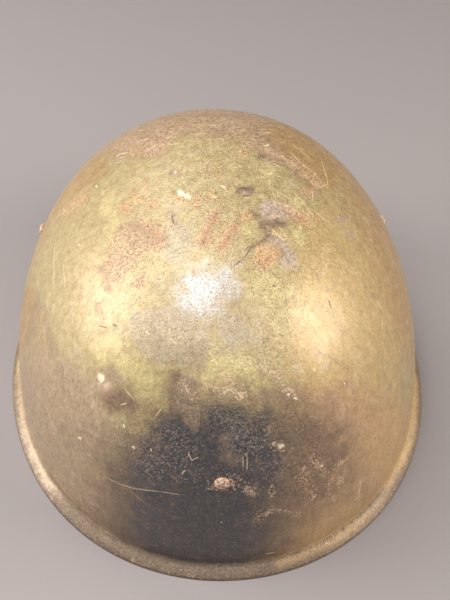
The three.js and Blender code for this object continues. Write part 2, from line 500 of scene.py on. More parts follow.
STAIN_CHART: dict[Stain, tuple[Patch, ...]] = {
    Stain.OCHRE: (
        Patch(((300, 225), (330, 200), (392, 260), (408, 400), (395, 440), (345, 420), (285, 370),
               (300, 290)), 18),
    ),
    Stain.BROWN: (
        Patch(((96, 152), (108, 162), (88, 186), (66, 204), (44, 234), (32, 262),
               (56, 195)), 12, -1),
        Patch(((262, 128), (296, 118), (350, 165), (336, 196), (310, 184), (286, 160)), 9),
        Patch(((318, 145), (350, 175), (385, 215), (402, 262), (416, 320), (416, 390), (396, 330),
               (358, 225)), 14.5),
        Patch(((26, 292), (21, 350)), 6.5, 5),
        Patch(((30, 305), (29, 335)), 3, 2),
        Patch(((36, 294), (35, 322)), 3, 1.6),
        Patch(((43, 312), (44, 333)), 3, 1.6),
        Patch(((51, 336), (52, 358)), 3, 2),
    ),
    Stain.RUSSET: (
        Patch(((296, 388), (345, 378), (392, 398), (412, 420), (412, 450), (395, 490), (345, 530),
               (300, 562), (258, 568), (296, 505), (318, 450)), 20),
    ),
    Stain.CROWN: (
        Patch(((96, 150), (170, 106), (215, 102), (290, 118), (300, 140), (270, 150), (254, 152),
               (238, 140), (180, 134), (163, 158), (130, 160), (112, 160)), 9),
        Patch(((133, 152), (146, 146), (160, 146), (163, 158), (150, 163), (136, 160)), 6.5),
        Patch(((258, 146), (272, 142), (292, 150), (304, 164), (320, 186), (316, 198), (296, 172),
               (262, 160)), 6.5),
    ),
    Stain.TAN: (
        Patch(((0, 385), (30, 350), (72, 358), (98, 374), (118, 430), (108, 460), (140, 545),
               (150, 590), (70, 560), (0, 450)), 20),
    ),
    # Painted highlight: a pale bluish patch under the glare, and a whitish spot on the mauve patch.
    Stain.PALE: (
        Patch(((186, 272), (226, 268), (234, 290), (210, 316), (178, 312)), 18),
        Patch(((262, 211), (269, 208), (274, 214), (266, 219)), 4),
    ),
    Stain.GREY: (
        Patch(((130, 314), (150, 306), (186, 314), (205, 330), (210, 350), (180, 366), (150, 362),
               (134, 350)), 5),
        Patch(((170, 228), (196, 220), (192, 258), (165, 264)), 11),
        Patch(((222, 318), (262, 330), (255, 350), (222, 345)), 17.5),
    ),
    Stain.DUN: (
        Patch(((182, 342), (204, 338), (210, 352), (206, 370), (188, 370)), 9),
        Patch(((98, 367), (112, 366), (124, 374), (132, 386), (118, 388), (104, 386)), 7),
        Patch(((254, 364), (268, 366), (282, 378), (262, 380)), 6),
        Patch(((204, 384), (246, 392), (300, 386), (302, 402), (250, 404), (206, 402)), 9),
        Patch(((172, 214), (176, 226)), 5, 2.5),
        Patch(((44, 306), (49, 330)), 4, 3.5),
        Patch(((50, 336), (57, 358)), 4, 3.5),
        Patch(((33, 310), (30, 345)), 4, 3),
        Patch(((38, 292), (36, 335)), 4, 2.5),
        Patch(((60, 364), (67, 394)), 6, 3),
        Patch(((62, 425), (70, 442)), 6, 3),
    ),
    Stain.MAUVE: (
        Patch(((255, 206), (268, 200), (280, 203), (289, 210), (289, 219), (270, 222),
               (256, 214)), 4),
        Patch(((266, 234), (286, 240), (298, 260), (298, 269), (281, 264), (279, 251),
               (268, 243)), 4),
        Patch(((340, 218), (350, 236)), 14),
        Patch(((234, 262), (242, 258), (246, 264), (238, 268)), 4),
    ),
    Stain.BRIGHT: (
        Patch(((88, 347), (100, 338), (112, 336), (129, 352), (153, 364), (160, 373), (158, 386),
               (162, 398), (152, 402), (143, 396), (123, 372), (95, 358)), 8),
        Patch(((156, 385), (168, 390), (170, 412), (158, 418), (150, 404)), 7),
        Patch(((213, 356), (245, 352), (258, 376), (266, 388), (250, 390), (232, 378), (207, 384),
               (204, 375)), 8),
        Patch(((292, 200), (302, 196), (306, 204), (300, 210)), 3.5),
        Patch(((290, 228), (303, 226), (304, 240), (296, 248)), 5.5),
        Patch(((240, 222), (252, 218), (254, 230), (246, 236)), 5.5),
        Patch(((262, 170), (276, 168), (280, 182), (266, 184)), 5.5),
        Patch(((108, 200), (118, 245)), 14.5, 6),
        Patch(((262, 285), (300, 300)), 18, 6),
    ),
    Stain.BED: (
        Patch(((119, 225), (134, 218), (159, 225), (168, 234), (166, 246), (144, 257), (135, 270),
               (118, 283), (104, 283), (98, 269), (108, 246)), 5),
        Patch(((206, 210), (222, 208), (222, 219), (214, 226), (213, 240), (205, 246), (197, 247),
               (205, 222)), 3.5),
        Patch(((228, 222), (240, 218), (242, 230), (234, 242), (228, 250), (219, 249),
               (222, 236)), 3.5),
        Patch(((135, 274), (143, 271), (150, 277), (148, 284), (139, 287)), 3.5),
        Patch(((101, 284), (112, 284), (112, 293), (104, 293)), 3.5),
        Patch(((250, 258), (262, 262), (272, 268), (262, 275)), 5),
        Patch(((281, 203), (296, 211), (308, 216), (300, 222), (288, 218)), 3.5),
        Patch(((257, 152), (268, 156), (296, 163)), 3.5, 2),
        Patch(((100, 306), (108, 320)), 7, 3),
        Patch(((186, 382), (196, 398)), 5, 5),
        Patch(((131, 175), (133, 176)), 3.5, 2),
        Patch(((196, 195), (199, 196)), 3.5, 2.5),
        Patch(((159, 182), (161, 183)), 3.5, 1.6),
        Patch(((228, 186), (230, 187)), 3.5, 2),
        Patch(((236, 176), (238, 177)), 3.5, 2),
        Patch(((205, 165), (207, 165)), 3.5, 1.5),
    ),
    # Umber stain on the front and round the blister. The chain of strokes at the end is painted
    # shade along the crease where the wall turns out into the lip.
    Stain.UMBER: (
        Patch(((98, 462), (125, 434), (150, 418), (172, 398), (206, 396), (250, 398), (296, 402),
               (340, 415), (350, 450), (334, 490), (300, 520), (290, 562), (262, 582), (200, 592),
               (150, 584), (112, 556), (98, 520)), 24),
        Patch(((171, 374), (181, 371), (184, 380), (178, 398), (179, 430), (168, 430),
               (169, 402)), 6),
        Patch(((98, 396), (108, 390), (122, 389), (132, 397), (136, 405), (128, 413),
               (110, 412)), 7),
        Patch(((106, 462), (130, 466), (128, 482), (108, 474)), 9),
        Patch(((240, 191), (251, 192)), 3.5, 3.5),
        Patch(((250, 213), (258, 217)), 3, 2),
        Patch(((260, 224), (283, 225)), 3, 3),
        Patch(((268, 230), (262, 236)), 3, 1.6),
        Patch(((262, 236), (250, 246)), 3, 2),
        Patch(((171, 173), (180, 174)), 4, 2),
        Patch(((259, 157), (263, 158)), 3, 1.5),
        Patch(((282, 161), (287, 162)), 3, 1.2),
        Patch(((294, 168), (298, 170)), 3, 1.2),
        # Painted shade: a dark line along the crease above the lip, from the left wall round to the
        # front.
        Patch(((19, 415), (26, 445)), 6, 1),
        Patch(((26, 445), (42, 477)), 6, 1),
        Patch(((44, 471), (75, 510)), 5, 1),
        Patch(((75, 510), (120, 539)), 5, 2),
        Patch(((120, 539), (180, 559)), 5, 3),
        Patch(((180, 559), (240, 564)), 5, 3),
        Patch(((240, 564), (292, 551)), 5, 2),
    ),
    # Charcoal wear on the front, darkened further by painted shade on the front wall and in the
    # crease above the lip.
    Stain.CHARCOAL: (
        Patch(((146, 436), (172, 414), (205, 420), (262, 422), (280, 440), (284, 470), (266, 500),
               (260, 540), (258, 572), (215, 594), (170, 588), (138, 564), (130, 520), (132, 490),
               (124, 468)), 30),
    ),
    Stain.INK: (
        Patch(((205, 409), (235, 405), (247, 404), (250, 414), (248, 428), (264, 440), (264, 452),
               (248, 454), (232, 444), (228, 430), (208, 428)), 7),
        Patch(((172, 426), (198, 436)), 10, 2),
    ),
    Stain.RUBBED: (
        Patch(((180, 384), (188, 377), (198, 381), (200, 405), (199, 425), (190, 432), (181, 415),
               (178, 400)), 6, 1.5),
        Patch(((222, 436), (232, 434), (238, 450), (240, 468), (224, 468)), 12, -4),
        Patch(((100, 432), (112, 455)), 16, 3),
    ),
    Stain.ORANGE: (
        Patch(((256, 246), (268, 243), (278, 248), (280, 258), (270, 266), (256, 263)), 6),
        Patch(((236, 214), (250, 212), (254, 218), (244, 222)), 4.5),
        Patch(((290, 210), (308, 214), (308, 220), (298, 221)), 4.5),
        Patch(((302, 220), (318, 220)), 6.5, 3),
        Patch(((122, 202), (131, 203), (130, 212), (122, 213)), 4.5),
        Patch(((134, 195), (142, 198)), 4.5, 3),
        Patch(((147, 185), (151, 189)), 4.5, 2),
        Patch(((178, 199), (197, 203)), 4.5, 2.5),
        Patch(((151, 204), (159, 205)), 4.5, 3),
        Patch(((216, 176), (222, 178)), 3.5, 1.6),
        Patch(((213, 196), (217, 197)), 3.5, 1.6),
        Patch(((151, 229), (158, 235)), 6.5, 3),
        Patch(((213, 214), (204, 243)), 5.5, 4),
        Patch(((234, 226), (222, 248)), 5.5, 4.5),
        Patch(((66, 212), (84, 196)), 6.5, 2.5),
        Patch(((238, 152), (243, 154)), 4.5, 2),
        Patch(((302, 190), (312, 196)), 6.5, 3),
        Patch(((292, 562), (298, 559)), 3.5, 2),
    ),
    Stain.GOLD: (
        Patch(((420, 380), (414, 450)), 7, 5),
        Patch(((368, 420), (398, 405), (412, 420), (410, 455), (388, 492), (368, 470)), 14),
        Patch(((390, 500), (335, 546)), 8, 6),
        Patch(((335, 546), (280, 566)), 6, 3),
        Patch(((312, 538), (342, 514)), 12, 8),
    ),
    Stain.DUST: (
        Patch(((100, 420), (160, 420), (205, 438), (205, 482), (150, 484), (105, 455)), 9),
        Patch(((205, 406), (275, 410), (300, 470), (290, 505), (240, 470)), 10),
        Patch(((168, 376), (200, 400)), 6, 6),
    ),
    Stain.PEACH: (
        Patch(((303, 470), (309, 475)), 5, 4),
        Patch(((312, 459), (324, 468)), 5, 4),
        Patch(((334, 466), (349, 458)), 3, 2.5),
        Patch(((302, 480), (312, 499)), 6, 5),
        Patch(((326, 473), (342, 480)), 6, 4),
        Patch(((327, 482), (336, 498)), 4, 3),
        Patch(((257, 519), (272, 511)), 4, 4),
        Patch(((276, 512), (300, 514)), 4, 3),
        Patch(((245, 489), (254, 494)), 4, 4),
        Patch(((268, 483), (272, 497)), 5, 3),
        Patch(((362, 478), (357, 500)), 3, 2.5),
        Patch(((284, 391), (299, 400)), 4, 4),
        Patch(((207, 384), (242, 395)), 5, 5),
        Patch(((222, 375), (232, 380)), 4, 3.5),
        Patch(((256, 366), (280, 378)), 4, 4),
        Patch(((184, 384), (196, 398)), 5, 3.5),
        Patch(((278, 442), (284, 448)), 3, 3),
        Patch(((212, 483), (234, 484)), 6, 6),
        Patch(((284, 205), (308, 217)), 3, 4),
        Patch(((60, 212), (84, 196)), 4, 3),
        Patch(((264, 228), (286, 236)), 4, 3),
        Patch(((285, 562), (340, 540)), 4, 0),
        Patch(((340, 540), (400, 488)), 4, 0),
        Patch(((262, 148), (300, 166)), 5, 5),
        Patch(((286, 160), (318, 184)), 5, 5),
    ),
    Stain.PEPPER: (
        Patch(((150, 265), (200, 258), (245, 275), (262, 310), (240, 350), (200, 340), (160, 320),
               (140, 290)), 15),
        Patch(((320, 300), (345, 335)), 10, 8),
        Patch(((318, 352), (345, 368)), 6, 6),
        Patch(((414, 450), (392, 496)), 3, 4),
        Patch(((392, 496), (335, 546)), 3, 4),
        Patch(((335, 546), (250, 576)), 3, 4),
        Patch(((255, 130), (300, 165)), 8, 8),
        Patch(((262, 150), (318, 192)), 9, 9),
        Patch(((98, 262), (112, 292)), 6, 6),
        Patch(((216, 214), (204, 244)), 6, 6),
        Patch(((238, 224), (222, 248)), 6, 6),
        Patch(((258, 222), (290, 262)), 12, 10),
        Patch(((186, 275), (226, 300)), 10, 10),
        Patch(((130, 550), (250, 578)), 3, 4),
        Patch(((130, 225), (165, 240)), 8, 8),
    ),
    Stain.GRIT: (
        Patch(((190, 128), (300, 130), (335, 200), (300, 290), (290, 395), (140, 350), (105, 285),
               (150, 200)), 25),
        Patch(((110, 430), (170, 400), (300, 400), (345, 470), (300, 510), (240, 500),
               (130, 480)), 12),
        Patch(((414, 450), (390, 498)), 4, 4),
        Patch(((390, 498), (300, 560)), 4, 4),
        Patch(((300, 560), (180, 575)), 4, 4),
    ),
}


class Blots(NamedTuple):
    """How many round blots of a stain the unseen side has, how far they reach, and their seed."""

    count: int
    reach_mm: float
    seed: int


UNSEEN_CHART: dict[Stain, Blots] = {
    Stain.OCHRE: Blots(8, 38, 1),
    Stain.BROWN: Blots(10, 24, 2),
    Stain.RUSSET: Blots(5, 26, 15),
    Stain.TAN: Blots(7, 24, 3),
    Stain.GREY: Blots(9, 10, 4),
    Stain.DUN: Blots(12, 6, 5),
    Stain.MAUVE: Blots(12, 8, 6),
    Stain.BRIGHT: Blots(9, 9, 7),
    Stain.BED: Blots(14, 8, 8),
    Stain.UMBER: Blots(6, 7, 9),
    Stain.ORANGE: Blots(24, 2.5, 11),
    Stain.PEACH: Blots(16, 6, 12),
    Stain.PEPPER: Blots(10, 20, 13),
    Stain.GRIT: Blots(9, 40, 14),
}


class Scar(Enum):
    """Kinds of small sharp marks, drawn in the paint's own nodes."""

    PIT = "pit"
    SCRATCH = "scratch"
    CHIP = "chip"
    BLISTER = "blister"


class Mark(NamedTuple):
    """A small mark from one pixel of the photograph to another, and its width."""

    u0: float
    v0: float
    u1: float
    v1: float
    width_mm: float


SCAR_CHART: dict[Scar, tuple[Mark, ...]] = {
    Scar.PIT: (
        Mark(254, 243, 243, 260, 0.6),
        Mark(242, 260, 234, 266, 0.8),
        Mark(240, 188, 248, 188, 0.8),
        Mark(242, 196, 250, 195, 0.8),
        Mark(172, 215, 174, 224, 0.9),
        Mark(329, 300, 331, 308, 0.9),
        Mark(99, 326, 107, 328, 0.7),
        Mark(112, 325, 117, 326, 1.0),
        Mark(381, 306, 382, 318, 0.7),
        Mark(201, 408, 201, 432, 0.6),
        Mark(190, 432, 192, 446, 0.6),
        Mark(272, 286, 276, 286, 0.8),
    ),
    Scar.SCRATCH: (
        Mark(293, 145, 310, 158, 0.45),
        Mark(290, 152, 303, 165, 0.45),
        Mark(300, 162, 315, 174, 0.4),
        Mark(322, 162, 326, 176, 0.45),
        Mark(326, 174, 328, 187, 0.4),
        Mark(277, 191, 292, 200, 0.4),
        Mark(292, 190, 304, 204, 0.4),
        Mark(303, 203, 316, 219, 0.4),
        Mark(312, 209, 328, 223, 0.35),
        Mark(273, 163, 282, 168, 0.4),
        Mark(315, 184, 320, 188, 0.5),
        Mark(318, 188, 327, 184, 0.4),
        Mark(312, 190, 313, 200, 0.4),
        Mark(272, 191, 276, 199, 0.4),
        Mark(277, 191, 279, 198, 0.4),
        Mark(362, 240, 371, 258, 0.4),
        Mark(391, 256, 393, 266, 0.6),
        Mark(377, 300, 383, 311, 0.5),
        Mark(383, 317, 382, 331, 0.45),
        Mark(103, 476, 120, 484, 0.4),
        Mark(117, 483, 136, 489, 0.45),
        Mark(132, 488, 160, 492, 0.45),
        Mark(155, 491, 182, 495, 0.4),
        Mark(130, 490, 146, 504, 0.18),
        Mark(124, 388, 135, 401, 0.4),
        Mark(120, 405, 127, 403, 0.5),
        Mark(44, 403, 50, 413, 0.4),
        Mark(48, 412, 54, 429, 0.4),
        Mark(55, 240, 53, 268, 0.5),
        Mark(54, 264, 53, 294, 0.4),
        Mark(63, 262, 65, 285, 0.35),
        Mark(61, 210, 56, 219, 0.6),
        Mark(85, 450, 92, 458, 0.4),
        Mark(265, 554, 276, 552, 0.7),
        Mark(188, 452, 192, 461, 0.5),
        Mark(191, 461, 198, 457, 0.4),
        Mark(182, 474, 185, 470, 0.7),
        Mark(336, 466, 349, 458, 0.4),
        Mark(230, 386, 242, 397, 0.3),
        Mark(242, 397, 247, 391, 0.3),
        Mark(192, 134, 208, 134, 0.5),
        Mark(170, 145, 180, 143, 0.5),
        Mark(176, 148, 186, 146, 0.4),
        Mark(205, 140, 214, 139, 0.35),
        Mark(165, 139, 172, 136, 0.5),
        Mark(243, 455, 243, 468, 0.35),
        Mark(247, 455, 247, 470, 0.35),
        Mark(361, 480, 358, 500, 0.4),
        Mark(145, 330, 150, 336, 0.4),
        Mark(170, 338, 177, 345, 0.4),
        Mark(282, 348, 285, 344, 0.4),
        Mark(154, 418, 162, 408, 0.3),
        Mark(271, 228, 283, 240, 0.4),
        Mark(278, 226, 288, 238, 0.35),
    ),
    Scar.CHIP: (
        Mark(178, 190, 184, 196, 2.4),
        Mark(183, 194, 190, 198, 2.2),
        Mark(98, 378, 104, 378, 4.2),
        Mark(279, 446, 282, 445, 2.4),
        Mark(123, 424, 125, 428, 1.2),
        Mark(78, 438, 82, 438, 1.1),
        Mark(132, 446, 135, 449, 1.2),
        Mark(150, 449, 152, 451, 1.0),
        Mark(344, 383, 345, 384, 0.9),
        Mark(314, 368, 315, 372, 0.5),
        Mark(287, 394, 290, 395, 0.8),
        Mark(293, 398, 297, 399, 0.8),
        Mark(268, 174, 273, 173, 0.7),
        Mark(299, 226, 302, 230, 0.6),
        Mark(96, 185, 97, 188, 0.9),
        Mark(78, 244, 80, 246, 0.8),
        Mark(174, 172, 176, 173, 1.2),
        Mark(221, 522, 222, 523, 0.7),
        Mark(116, 157, 121, 154, 0.7),
        Mark(121, 154, 127, 153, 0.8),
        Mark(137, 142, 148, 139, 0.7),
        Mark(211, 126, 216, 125, 0.8),
        Mark(238, 151, 242, 151, 0.7),
        Mark(264, 133, 270, 133, 0.7),
        Mark(265, 146, 269, 145, 1.0),
        Mark(220, 185, 226, 188, 0.7),
        Mark(285, 205, 289, 207, 0.8),
        Mark(213, 196, 217, 197, 0.8),
        Mark(314, 173, 316, 175, 0.8),
        Mark(320, 465, 323, 466, 1.0),
        Mark(355, 500, 356, 500, 0.7),
    ),
    Scar.BLISTER: (
        Mark(103, 389, 112, 394, 7.0),
        Mark(278, 447, 283, 444, 4.0),
        Mark(305, 472, 309, 474, 3.0),
        Mark(317, 465, 323, 466, 4.0),
        Mark(245, 492, 253, 491, 4.5),
        Mark(242, 193, 250, 192, 3.0),
        Mark(172, 173, 179, 173, 3.2),
    ),
}


OVER = {"data_type": "RGBA"}
OVERLAY = {"data_type": "RGBA", "blend_type": "OVERLAY"}
SMOOTH = {"interpolation_type": "SMOOTHSTEP"}
TEXTURE = {"vector_type": "TEXTURE"}


@dataclass(frozen=True)
class Layer:
    """One stain's look: flecks of two colours, a ragged edge, a roughness and a crust."""

    stain: Stain
    colour: str
    other: str
    fleck_mm: float
    grain_mm: float
    ragged: float
    edge: float
    opacity: float
    roughness: float
    crust_mm: float = 0.0


@dataclass(frozen=True)
class Speckle:
    """Small spots that thicken where a stain's field is strong."""

    stain: Stain
    colour: str
    other: str
    size_mm: float
    rare: float
    gain: float
    opacity: float


@dataclass(frozen=True)
class ScarLook:
    """How a kind of mark looks: colour, how ragged, soft and strong it is, and how it stands."""

    scar: Scar
    colour: str
    ragged: float
    edge: float
    opacity: float
    lift_mm: float


@dataclass(frozen=True)
class PaintNodes:
    """The paint's node tree, with the sockets that many of its nodes read."""

    tree: bpy.types.NodeTree
    place: bpy.types.NodeSocket
    noise: dict[float, bpy.types.NodeSocket]
    field: dict[Stain, bpy.types.NodeSocket]
    fine_mm: ClassVar[float] = 2.0
    fine_detail: ClassVar[float] = 2
    broad_detail: ClassVar[float] = 5
    noise_roughness: ClassVar[float] = 0.62

    @classmethod
    def of(cls, tree: bpy.types.NodeTree, sizes_mm: set[float]) -> "PaintNodes":
        """Adds the place, a smooth noise for each real size, and each stain's field.

        Args:
            tree: An empty node tree.
            sizes_mm: How large the features of each noise are.

        Returns:
            The tree with its shared sockets.
        """
        place = add_node(tree, "TexCoord").outputs["Object"]
        noise, field = {}, {}
        for size in sorted(sizes_mm):
            inputs = {
                "Vector": place,
                "Scale": per_metre(size),
                "Detail": cls.fine_detail if size < cls.fine_mm else cls.broad_detail,
                "Roughness": cls.noise_roughness,
            }
            noise[size] = add_node(tree, "TexNoise", {}, inputs).outputs["Fac"]
        for stain in Stain:
            attribute = add_node(tree, "Attribute", {"attribute_name": stain.value})
            field[stain] = attribute.outputs["Fac"]
        return cls(tree, place, noise, field)

    def drawn_out(self, size_mm: float, stretch: tuple[float, float, float]) -> Any:
        """Adds noise that is drawn out along an axis.

        Args:
            size_mm: How large its features are across.
            stretch: How many times longer they are along each axis.

        Returns:
            The noise's socket.
        """
        inputs = {"Vector": self.place, "Scale": stretch}
        along = add_node(self.tree, "Mapping", TEXTURE, inputs).outputs["Vector"]
        inputs = {"Vector": along, "Scale": per_metre(size_mm), "Detail": self.fine_detail}
        return add_node(self.tree, "TexNoise", {}, inputs).outputs["Fac"]

    def cut(self, terms: tuple[Any, Any, Any], low: float, high: float, opacity: float) -> Any:
        """Cuts a mask from one pattern times a share, added to another pattern.

        Args:
            terms: The first pattern, its share and the other pattern.
            low: The level where the mask starts.
            high: The level where the mask is full.
            opacity: How strong the full mask is.

        Returns:
            The mask's socket.
        """
        settings = {"operation": "MULTIPLY_ADD"}
        total = add_node(self.tree, "Math", settings, dict(enumerate(terms))).outputs["Value"]
        inputs = {"Value": total, "From Min": low, "From Max": high, "To Max": opacity}
        return add_node(self.tree, "MapRange", SMOOTH, inputs).outputs["Result"]

    def by_grit(self, smooth: float, gritty: float) -> Any:
        """Returns a number that runs from one value on smooth paint to another on gritty paint."""
        inputs = {"Value": self.field[Stain.GRIT], "To Min": smooth, "To Max": gritty}
        return add_node(self.tree, "MapRange", {}, inputs).outputs["Result"]


@dataclass(frozen=True)
class WornPaint:
    """Old semi-gloss oil paint on pressed steel, polished by hands and rusting through.

    The eye sees a broad brassy sheen, because the rubbed paint shows some steel, a khaki that
    turns to ochre, brown and mauve in patches, a front worn to charcoal and darkened further by
    painted shade, and fine grains of rust. A pale bluish patch under the glare is a painted
    highlight, and the crease above the lip and the trimmed edge carry painted shade.
    """

    name: str = "worn_olive_oil_paint_on_steel"
    khaki: str = "#a2916b"
    moss: str = "#97865d"
    scuff: str = "#c6aa84"
    inner: str = "#5d5340"
    inner_rust: str = "#5a4233"
    moss_mm: float = 4.0
    fleck_cut: tuple[float, float] = (0.38, 0.62)
    mottles: tuple[tuple[float, float], ...] = ((7.0, 0.2), (2.4, 0.18))
    # Grit and peel are drawn as coarse as they need to show, a little over a pixel across.
    grit_mm: float = 0.9
    grit_share: tuple[float, float] = (0.44, 0.9)
    peel_mm: float = 0.8
    peel_depth: float = 0.15 * MM
    peel_strength: tuple[float, float] = (0.45, 1.0)
    scuff_mm: float = 1.0
    scuff_stretch: tuple[float, float, float] = (9.0, 1.0, 1.0)
    scuff_gain: float = 0.2
    scuff_cut: tuple[float, float] = (0.77, 0.9)
    scuff_opacity: float = 0.75
    streak_mm: float = 2.0
    streak_stretch: tuple[float, float, float] = (1.0, 1.0, 14.0)
    streak_share: float = 0.22
    rust_mm: float = 14.0
    scar_mm: float = 1.2
    scar_level: float = 0.45
    spot_edge: float = 0.1
    crust_strength: float = 0.6
    roughness: float = 0.5
    dull_roughness: float = 0.62
    steel_share: float = 0.28
    coat_weight: float = 0.3
    coat_roughness: float = 0.2
    layers: tuple[Layer, ...] = (
        Layer(Stain.OCHRE, "#a88e60", "#a1895c", 4, 16, 1.6, 0.4, 0.9, 0.5),
        Layer(Stain.CROWN, "#8a7059", "#b09478", 1.6, 7, 1.8, 0.35, 0.88, 0.52, 0.1),
        Layer(Stain.BROWN, "#94754d", "#a38358", 3, 10, 1.6, 0.4, 0.9, 0.5),
        Layer(Stain.RUSSET, "#9a7a5a", "#a88763", 3, 10, 1.6, 0.4, 0.9, 0.5),
        Layer(Stain.TAN, "#947e67", "#a08a70", 2.4, 10, 1.6, 0.45, 0.9, 0.5),
        # Painted highlight: pale bluish grey that makes the glare's reflection whiter.
        Layer(Stain.PALE, "#b3b3b8", "#9a9794", 1.2, 7, 1.6, 0.5, 0.85, 0.42),
        Layer(Stain.GREY, "#9b8e76", "#90836c", 1.6, 7, 1.5, 0.25, 0.8, 0.5),
        Layer(Stain.DUN, "#93806a", "#83705b", 1.2, 6, 1.8, 0.3, 0.65, 0.5),
        Layer(Stain.MAUVE, "#b09d8e", "#8f7c6c", 1.6, 5, 1.6, 0.3, 0.85, 0.55, 0.1),
        Layer(Stain.BRIGHT, "#b2a374", "#aa9b6d", 1.6, 7, 1.8, 0.35, 0.85, 0.48),
        Layer(Stain.BED, "#8a6e55", "#a88e73", 0.9, 5, 1.5, 0.3, 0.82, 0.58, 0.25),
        # Umber stain, and painted shade in the crease above the lip.
        Layer(Stain.UMBER, "#78624f", "#695648", 1.6, 10, 1.4, 0.5, 0.95, 0.5),
        # Charcoal wear, partly painted shade on the front wall and in the crease.
        Layer(Stain.CHARCOAL, "#404045", "#4d4a4b", 1.2, 8, 1.6, 0.42, 0.97, 0.42),
        Layer(Stain.INK, "#383c3e", "#625d5a", 0.9, 5, 1.8, 0.4, 0.75, 0.42, 0.1),
        Layer(Stain.RUBBED, "#8f7c69", "#705f50", 1.2, 5, 1.6, 0.4, 0.85, 0.5),
        Layer(Stain.ORANGE, "#936e50", "#b8906a", 0.9, 4, 2.4, 0.4, 0.7, 0.6, 0.25),
        Layer(Stain.RIM, "#615143", "#70604f", 0.9, 5, 0.5, 0.2, 0.95, 0.6, 0.2),
        Layer(Stain.GOLD, "#b6976d", "#a0815b", 1.2, 5, 1.4, 0.5, 0.8, 0.57, 0.15),
        # Rust and painted shade, darker towards the trimmed edge.
        Layer(Stain.EDGE, "#4d4036", "#6b5848", 1.2, 5, 1.0, 0.35, 0.75, 0.6, 0.15),
    )
    speckles: tuple[Speckle, ...] = (
        Speckle(Stain.PEPPER, "#56473a", "#705b48", 0.9, 0.74, 0.24, 0.75),
        Speckle(Stain.DUST, "#9a8d82", "#857563", 1.2, 0.74, 0.22, 0.55),
        Speckle(Stain.PEACH, "#cdb193", "#ad8d6e", 1.2, 0.67, 0.25, 0.8),
    )
    scar_looks: tuple[ScarLook, ...] = (
        ScarLook(Scar.BLISTER, "#a58877", 1.0, 0.4, 0.6, 0.0),
        ScarLook(Scar.PIT, "#554335", 0.9, 0.2, 0.75, -0.2),
        ScarLook(Scar.SCRATCH, "#d8c298", 0.9, 0.2, 0.85, 0.0),
        ScarLook(Scar.CHIP, "#dccfb2", 1.1, 0.18, 0.85, 0.0),
    )

    def material(self, scars: dict[Scar, Array]) -> bpy.types.Material:
        """Builds the paint's nodes.

        Args:
            scars: For each kind of mark, its 4 by 4 frames with length, width and depth as axes.

        Returns:
            The material.
        """
        material = empty_material(self.name)
        tree = material.node_tree
        nodes = PaintNodes.of(tree, self._noise_sizes())
        colour = self._two_tone(nodes, self.khaki, self.moss, self.moss_mm)
        roughness: Any = self.roughness
        covers: list[tuple[Any, Any]] = []
        reliefs: list[tuple[Any, float]] = []
        for layer in self.layers:
            mask = self._layer_mask(nodes, layer)
            shade = self._two_tone(nodes, layer.colour, layer.other, layer.fleck_mm)
            inputs = {"Factor": mask, "A": colour, "B": shade}
            colour = add_node(tree, "Mix", OVER, inputs).outputs["Result"]
            inputs = {"Factor": mask, "A": roughness, "B": layer.roughness}
            roughness = add_node(tree, "Mix", {}, inputs).outputs["Result"]
            if layer.crust_mm:
                inputs = {0: mask, 1: nodes.noise[layer.fleck_mm]}
                crust = add_node(tree, "Math", {"operation": "MULTIPLY"}, inputs).outputs["Value"]
                reliefs.append((crust, layer.crust_mm))
        colour = self._weather(nodes, colour)
        for speckle in self.speckles:
            shade = self._two_tone(nodes, speckle.colour, speckle.other, self.moss_mm)
            covers.append((self._spots(nodes, speckle), shade))
        for look in self.scar_looks:
            mask = self._scar_mask(nodes, scars[look.scar], look)
            covers.append((mask, linear(look.colour)))
            if look.lift_mm:
                reliefs.append((mask, look.lift_mm))
        for mask, shade in covers:
            inputs = {"Factor": mask, "A": colour, "B": shade}
            colour = add_node(tree, "Mix", OVER, inputs).outputs["Result"]
        normal = self._bumped(nodes, reliefs)
        shader = add_node(
            tree,
            "BsdfPrincipled",
            inputs={
                "Base Color": self._inside(nodes, colour),
                "Roughness": roughness,
                "Metallic": self.steel_share,
                "Coat Weight": self._gloss(nodes, roughness),
                "Coat Roughness": self.coat_roughness,
                "Normal": normal,
                "Coat Normal": normal,
            },
        )
        add_node(tree, "OutputMaterial", inputs={"Surface": shader.outputs["BSDF"]})
        return material

    def _bumped(self, nodes: PaintNodes, reliefs: list[tuple[Any, float]]) -> Any:
        """Bumps the surface by the paint's fine peel, and then by each relief.

        Args:
            nodes: The paint's nodes.
            reliefs: Patterns, each with its height in millimetres.

        Returns:
            The bumped normal's socket.
        """
        inputs = {
            "Strength": nodes.by_grit(*self.peel_strength),
            "Distance": self.peel_depth,
            "Height": nodes.noise[self.peel_mm],
        }
        normal = add_node(nodes.tree, "Bump", {}, inputs).outputs["Normal"]
        for height, lift_mm in reliefs:
            inputs = {
                "Strength": self.crust_strength,
                "Distance": lift_mm * MM,
                "Height": height,
                "Normal": normal,
            }
            normal = add_node(nodes.tree, "Bump", {}, inputs).outputs["Normal"]
        return normal

    def _noise_sizes(self) -> set[float]:
        """Collects the real sizes of all the noises that the paint uses.

        Returns:
            Sizes in millimetres.
        """
        own = {self.moss_mm, self.grit_mm, self.rust_mm, self.scar_mm, self.peel_mm}
        mottled = {size for size, _ in self.mottles}
        drawn = {size for layer in self.layers for size in (layer.fleck_mm, layer.grain_mm)}
        return own | mottled | drawn | {speckle.size_mm for speckle in self.speckles}

